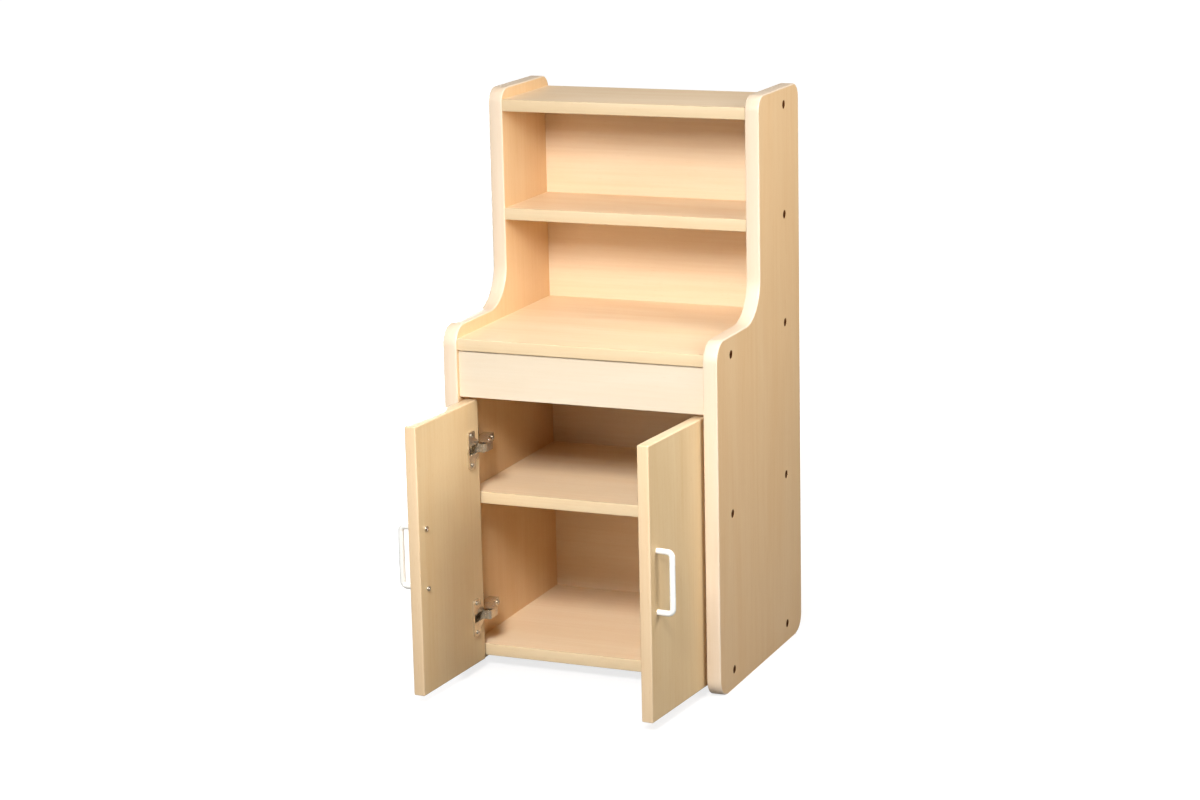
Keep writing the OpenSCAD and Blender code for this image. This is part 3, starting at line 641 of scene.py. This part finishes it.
def side_band_mesh(work, low, high, shape):
    """One strip round a side, drawn along the straights and spun round the corners."""
    band, steps, height = shape.band_thickness, shape.arris_steps, high.z
    rim = []
    for i in range(steps + 1):
        turn = QUARTER_TURN * i / steps
        rim.append((low.x + band * (1 - cos(turn)), band * (1 - sin(turn))))
    profile = rim + [(low.x + high.x - x, inset) for x, inset in reversed(rim)]
    start = [work.verts.new((x, low.y + shape.foot_radius, inset)) for x, inset in profile]
    ring = [work.edges.new((start[i], start[(i + 1) % len(start)])) for i in range(len(start))]
    work.faces.new(start)
    length_layer = work.loops.layers.uv.new("UVMap")
    upper = high.y - shape.upper_depth

    foot, shoulder = shape.foot_radius, shape.shoulder_radius
    hollow, top = shape.hollow_radius, shape.top_radius
    ledge = shape.shoulder_height

    def corner(edges, name, y, z, angle=-QUARTER_TURN):
        return spun(work, edges, (0, y, z), angle, CORNER_STEPS[name])
    edges = corner(ring, "foot", low.y + foot, foot)
    edges = pushed(work, edges, (0, 0, ledge - shoulder - foot))
    edges = corner(edges, "shoulder", low.y + shoulder, ledge - shoulder)
    edges = pushed(work, edges, (0, upper - hollow - low.y - shoulder, 0))
    edges = corner(edges, "hollow", upper - hollow, ledge + hollow, QUARTER_TURN)
    edges = pushed(work, edges, (0, 0, height - top - ledge - hollow))
    edges = corner(edges, "top", upper + top, height - top)
    edges = pushed(work, edges, (0, shape.upper_depth - 2 * top, 0))
    edges = corner(edges, "top", high.y - top, height - top)
    edges = pushed(work, edges, (0, 0, -(height - top - foot)))
    edges = corner(edges, "foot", high.y - foot, foot)
    bmesh.ops.contextual_create(work, geom=edges)
    for face in work.faces:
        for loop in face.loops:
            spot = loop.vert.co
            way = spot.z if abs(face.normal.z) < 0.7 else spot.y
            loop[length_layer].uv = (spot.x, way)


class CUPBOARD_OT_side_bands(bpy.types.Operator):
    """Make the rounded bands round the two sides"""
    bl_idname = "cupboard.side_bands"
    bl_label = "Side bands"

    def execute(self, context):
        shape = context.scene.cupboard_shape
        for side in SIDES:
            node = side + "_side_edge_band"
            low, high = corners(node)
            # The bands' paler tone is painted light for their front-lit edges
            add_piece(side + "_band", lambda work: side_band_mesh(work, low, high, shape),
                      "Side band", "carcass", [node], 50)
        return {"FINISHED"}


def front_band_mesh(work, low, high, shape):
    """A board's front band, with its two front arrises rounded."""
    verts = box_into(work, low, high)
    middle = (low.y + high.y) / 2
    round_edges(work, edges_along(verts, 0, lambda spot: spot.y < middle),
                shape.shelf_arris, shape.arris_steps)


class CUPBOARD_OT_shelf_bands(bpy.types.Operator):
    """Make the front bands of the boards, with eased arrises"""
    bl_idname = "cupboard.shelf_bands"
    bl_label = "Shelf bands"

    def execute(self, context):
        shape = context.scene.cupboard_shape
        for board in ("top_board", "upper_shelf", "counter", "cupboard_shelf", "bottom_board"):
            node = board + "_edge_band"
            low, high = corners(node)
            add_piece(board + "_front", lambda work: front_band_mesh(work, low, high, shape),
                      "Shelf band", "carcass", [node])
        return {"FINISHED"}


class CUPBOARD_OT_boards(bpy.types.Operator):
    """Give the boards, the sides, the apron and the back their maple faces"""
    bl_idname = "cupboard.boards"
    bl_label = "Boards"

    def execute(self, context):
        faces = {
            # Painted shade: the sides' deeper tone stands for the shade on their faces
            "Side maple": ("left_side_panel", "right_side_panel"),
            "Shelf maple": ("top_board", "upper_shelf", "counter_board", "cupboard_shelf",
                            "bottom_board"),
            "Back maple": ("back_panel",),
            # Painted light: the apron's paler tone stands for the bright front light on it
            "Apron maple": ("apron",),
            "Door maple": ("left_door_panel", "right_door_panel"),
            "Dowel beech": ("left_dowels", "right_dowels"),
        }
        for name, nodes in faces.items():
            for node in nodes:
                dress(node, name)
        return {"FINISHED"}


def door_rim_mesh(work, bottom, top, place, shape):
    """A door's rounded outline as a closed ring, with the panel's place left open."""
    size = Vector((shape.door_width, shape.door_thickness, top - bottom))
    box_into(work, (0, 0, bottom), (size.x, size.y, top))
    round_edges(work, list(work.edges), shape.door_arris, shape.arris_steps)
    half_area = 0.5 * size.x * size.z
    faces = [f for f in work.faces if abs(f.normal.y) > 0.99 and f.calc_area() > half_area]
    bmesh.ops.inset_individual(work, faces=faces, thickness=shape.band_thickness - shape.door_arris)
    loops = [e for f in faces for e in f.edges]
    bmesh.ops.delete(work, geom=faces, context="FACES_ONLY")
    bmesh.ops.bridge_loops(work, edges=loops)
    bmesh.ops.transform(work, matrix=place, verts=work.verts)


class CUPBOARD_OT_door_bands(bpy.types.Operator):
    """Make the bands round the doors, rounded on every arris"""
    bl_idname = "cupboard.door_bands"
    bl_label = "Door bands"

    def execute(self, context):
        shape = context.scene.cupboard_shape
        for side in SIDES:
            node = side + "_door_edge_band"
            low, high = corners(node)
            place = door_frame(side)
            add_piece(side + "_door_rim",
                      lambda work: door_rim_mesh(work, low.z, high.z, place, shape),
                      "Door band", side + "_door", [node])
        return {"FINISHED"}


def bow_mesh(work, centre, place, shape):
    """A bow handle: a round rod drawn out of the door, along it and back."""
    rod, bend, half = shape.handle_rod / 2, shape.handle_bend, shape.handle_pitch / 2
    along = shape.door_width - shape.handle_inset
    run = shape.handle_reach - rod - bend
    end = Matrix.Translation((along, 0, centre - half)) @ Matrix.Rotation(QUARTER_TURN, 4, "X")
    ring = bmesh.ops.create_circle(work, cap_ends=False, segments=ROD_SIDES,
                                   radius=rod - BOW_EASE, matrix=end)
    edges = list(dict.fromkeys(e for v in ring["verts"] for e in v.link_edges))
    bmesh.ops.contextual_create(work, geom=edges)
    edges = pushed(work, edges, (0, -BOW_EASE, 0), rod / (rod - BOW_EASE))
    edges = pushed(work, edges, (0, -(run - BOW_EASE), 0))
    edges = spun(work, edges, (along, -run, centre - half + bend), -QUARTER_TURN, BEND_STEPS)
    edges = pushed(work, edges, (0, 0, 2 * (half - bend)))
    edges = spun(work, edges, (along, -run, centre + half - bend), -QUARTER_TURN, BEND_STEPS)
    edges = pushed(work, edges, (0, run - BOW_EASE, 0))
    edges = pushed(work, edges, (0, BOW_EASE, 0), (rod - BOW_EASE) / rod)
    bmesh.ops.contextual_create(work, geom=edges)
    bmesh.ops.transform(work, matrix=place, verts=work.verts)


class CUPBOARD_OT_handles(bpy.types.Operator):
    """Make the white bow handles"""
    bl_idname = "cupboard.handles"
    bl_label = "Handles"

    def execute(self, context):
        shape = context.scene.cupboard_shape
        for side in SIDES:
            node = side + "_handle"
            low, high = corners(node)
            place, centre = door_frame(side), (low.z + high.z) / 2
            add_piece(side + "_bow", lambda work: bow_mesh(work, centre, place, shape),
                      "Handle white", side + "_door", [node])
        return {"FINISHED"}


def eased_copy(node, material, body, ease, steps=2, angle=35):
    """A copy of a metal node, its facets merged and its edges eased, in the node's place."""
    source = bpy.data.objects[node].data

    def shape(work):
        work.from_mesh(source)
        bmesh.ops.remove_doubles(work, verts=work.verts, dist=COPY_MERGE_WITHIN)
        bmesh.ops.dissolve_limit(work, angle_limit=radians(0.5), use_dissolve_boundaries=False,
                                 verts=work.verts, edges=work.edges, delimit={"NORMAL"})
    piece = add_piece(node + "_eased", shape, material, body, [node], angle)
    bevel = piece.modifiers.new("Eased edges", "BEVEL")
    bevel.width = ease
    bevel.segments = steps
    bevel.limit_method = "ANGLE"
    bevel.angle_limit = radians(angle)
    bevel.use_clamp_overlap = True
    bevel.harden_normals = False
    return piece


class CUPBOARD_OT_hinges(bpy.types.Operator):
    """Make the cups, arms and plates of the concealed hinges"""
    bl_idname = "cupboard.hinges"
    bl_label = "Hinges"

    def execute(self, context):
        for side in SIDES:
            for level in LEVELS:
                stem = side + "_" + level + "_hinge_"
                eased_copy(stem + "cup", "Hinge nickel", side + "_door", CUP_EASE)
                eased_copy(stem + "arm", "Hinge nickel", "carcass", ARM_EASE)
                eased_copy(stem + "plate", "Hinge nickel", "carcass", PLATE_EASE)
            dress(side + "_hinge_pins", "Zinc screw")
        return {"FINISHED"}


class CUPBOARD_OT_fasteners(bpy.types.Operator):
    """Make the screws and rivets, with eased heads"""
    bl_idname = "cupboard.fasteners"
    bl_label = "Fasteners"

    def execute(self, context):
        for side in SIDES:
            for kind, body in (("handle_screws", side + "_door"), ("cup_screws", side + "_door"),
                               ("plate_screws", "carcass"), ("arm_screws", "carcass"),
                               ("arm_rivets", "carcass")):
                eased_copy(side + "_" + kind, "Zinc screw", body, SCREW_EASE, 3)
            eased_copy(side + "_side_screws", "Burnished screw", "carcass",
                       CONNECTOR_EASE)
        eased_copy("back_panel_screws", "Zinc screw", "carcass", SCREW_EASE)
        return {"FINISHED"}


class CUPBOARD_OT_stage(bpy.types.Operator):
    """Set up the pale floor, the lamps, the even sky and the camera"""
    bl_idname = "cupboard.stage"
    bl_label = "Stage"

    def execute(self, context):
        stage = context.scene.cupboard_stage
        mesh = bpy.data.meshes.new("floor")
        work = bmesh.new()
        bmesh.ops.create_grid(work, x_segments=1, y_segments=1, size=FLOOR_HALF_WIDTH)
        work.to_mesh(mesh)
        work.free()
        floor = bpy.data.objects.new("floor", mesh)
        context.scene.collection.objects.link(floor)
        floor.data.materials.append(self.floor_material())
        for name, place, aim, width, cone, power in LAMPS:
            self.lamp(name, place, aim, width, cone, getattr(stage, power))
        self.sky(context.scene, stage.sky_level)
        self.camera(context.scene, stage)
        context.scene.view_settings.view_transform = "Standard"
        return {"FINISHED"}

    def floor_material(self):
        material, tree, shader = fresh_material("Pale floor")
        coords = node_at(tree, "ShaderNodeTexCoord", -900, 0)
        noise = node_at(tree, "ShaderNodeTexNoise", -700, 0)
        noise.inputs["Scale"].default_value = 3
        tree.links.new(coords.outputs["Object"], noise.inputs["Vector"])
        tone = blend_colour(tree, -400, 0, noise.outputs["Fac"], *FLOOR_GREYS)
        tree.links.new(tone, shader.inputs["Base Color"])
        shader.inputs["Roughness"].default_value = FLOOR_ROUGHNESS
        light = node_at(tree, "ShaderNodeLightPath", -700, 400)
        away = node_at(tree, "ShaderNodeVectorMath", -700, 620, "distance from the cupboard",
                       operation="LENGTH")
        tree.links.new(coords.outputs["Object"], away.inputs[0])
        glow = spread(tree, away.outputs["Value"], -520, 620, GLOW_FROM, GLOW_TO, GLOW_NEAR, 1.0)
        tree.links.new(maths(tree, "MULTIPLY", -300, 400, light.outputs["Is Camera Ray"], glow),
                       shader.inputs["Emission Strength"])
        shader.inputs["Emission Color"].default_value = WHITE
        return material

    def lamp(self, name, place, aim, width, cone, power):
        light = bpy.data.lights.new(name, "AREA")
        light.shape = "SQUARE"
        light.size = width
        light.spread = radians(cone)
        light.energy = power
        lamp = bpy.data.objects.new(name, light)
        lamp.location = place
        lamp.rotation_euler = (Vector(aim) - Vector(place)).to_track_quat("-Z", "Y").to_euler()
        bpy.context.scene.collection.objects.link(lamp)

    def sky(self, scene, level):
        world = bpy.data.worlds.new("Even sky")
        world.use_nodes = True
        tree = world.node_tree
        back = tree.nodes["Background"]
        rays = node_at(tree, "ShaderNodeLightPath", -800, 0)
        mirrored = maths(tree, "MULTIPLY", -680, -160, rays.outputs["Is Glossy Ray"], MIRRORED_SKY)
        seen = maths(tree, "MAXIMUM", -560, 0, rays.outputs["Is Camera Ray"], mirrored)
        seen = maths(tree, "MAXIMUM", -400, 0, seen, rays.outputs["Is Transmission Ray"])
        tree.links.new(blend_colour(tree, -240, 200, seen, WARM_SKY, WHITE), back.inputs["Color"])
        tree.links.new(spread(tree, seen, -240, 0, 0.0, 1.0, level, 1.0), back.inputs["Strength"])
        scene.world = world

    def camera(self, scene, stage):
        yaw, pitch, roll = stage.camera_yaw, stage.camera_pitch, stage.camera_roll
        ahead = Vector((-sin(yaw) * cos(pitch), cos(yaw) * cos(pitch), -sin(pitch)))
        right = Vector((cos(yaw), sin(yaw), 0))
        up = right.cross(ahead)
        rolled_right = right * cos(roll) + up * sin(roll)
        rolled_up = up * cos(roll) - right * sin(roll)
        data = bpy.data.cameras.new("camera")
        data.lens = stage.lens
        data.sensor_width = FILM_WIDTH
        data.sensor_fit = "HORIZONTAL"
        data.clip_end = 100
        camera = bpy.data.objects.new("camera", data)
        turn = Matrix((rolled_right, rolled_up, -ahead)).transposed().to_4x4()
        camera.matrix_world = Matrix.Translation(stage.camera_place) @ turn
        scene.collection.objects.link(camera)
        scene.camera = camera


class CUPBOARD_PT_panel(bpy.types.Panel):
    """Lists the cupboard's pieces and the stage"""
    bl_idname = "CUPBOARD_PT_panel"
    bl_label = "Cupboard"
    bl_space_type = "VIEW_3D"
    bl_region_type = "UI"
    bl_category = "Cupboard"

    def draw(self, context):
        for operator in PIECE_OPERATORS:
            self.layout.operator(operator.bl_idname)
        for attribute, kind in GROUPS:
            group = getattr(context.scene, attribute)
            box = self.layout.box()
            for name in kind.__annotations__:
                box.prop(group, name)


GROUPS = (
    ("cupboard_shape", CupboardShape),
    ("cupboard_finish", CupboardFinish),
    ("cupboard_stage", CupboardStage),
)
PIECE_OPERATORS = (
    CUPBOARD_OT_boards, CUPBOARD_OT_side_bands, CUPBOARD_OT_shelf_bands, CUPBOARD_OT_door_bands,
    CUPBOARD_OT_handles, CUPBOARD_OT_hinges, CUPBOARD_OT_fasteners, CUPBOARD_OT_stage,
)


def register():
    for name, group in GROUPS:
        bpy.utils.register_class(group)
        setattr(bpy.types.Scene, name, PointerProperty(type=group))
    for operator in PIECE_OPERATORS:
        bpy.utils.register_class(operator)
    bpy.utils.register_class(CUPBOARD_PT_panel)


def unregister():
    bpy.utils.unregister_class(CUPBOARD_PT_panel)
    for operator in reversed(PIECE_OPERATORS):
        bpy.utils.unregister_class(operator)
    for name, group in reversed(GROUPS):
        delattr(bpy.types.Scene, name)
        bpy.utils.unregister_class(group)


def main():
    register()
    bpy.ops.cupboard.boards()
    bpy.ops.cupboard.side_bands()
    bpy.ops.cupboard.shelf_bands()
    bpy.ops.cupboard.door_bands()
    bpy.ops.cupboard.handles()
    bpy.ops.cupboard.hinges()
    bpy.ops.cupboard.fasteners()
    bpy.ops.cupboard.stage()


if __name__ == "__main__":
    main()
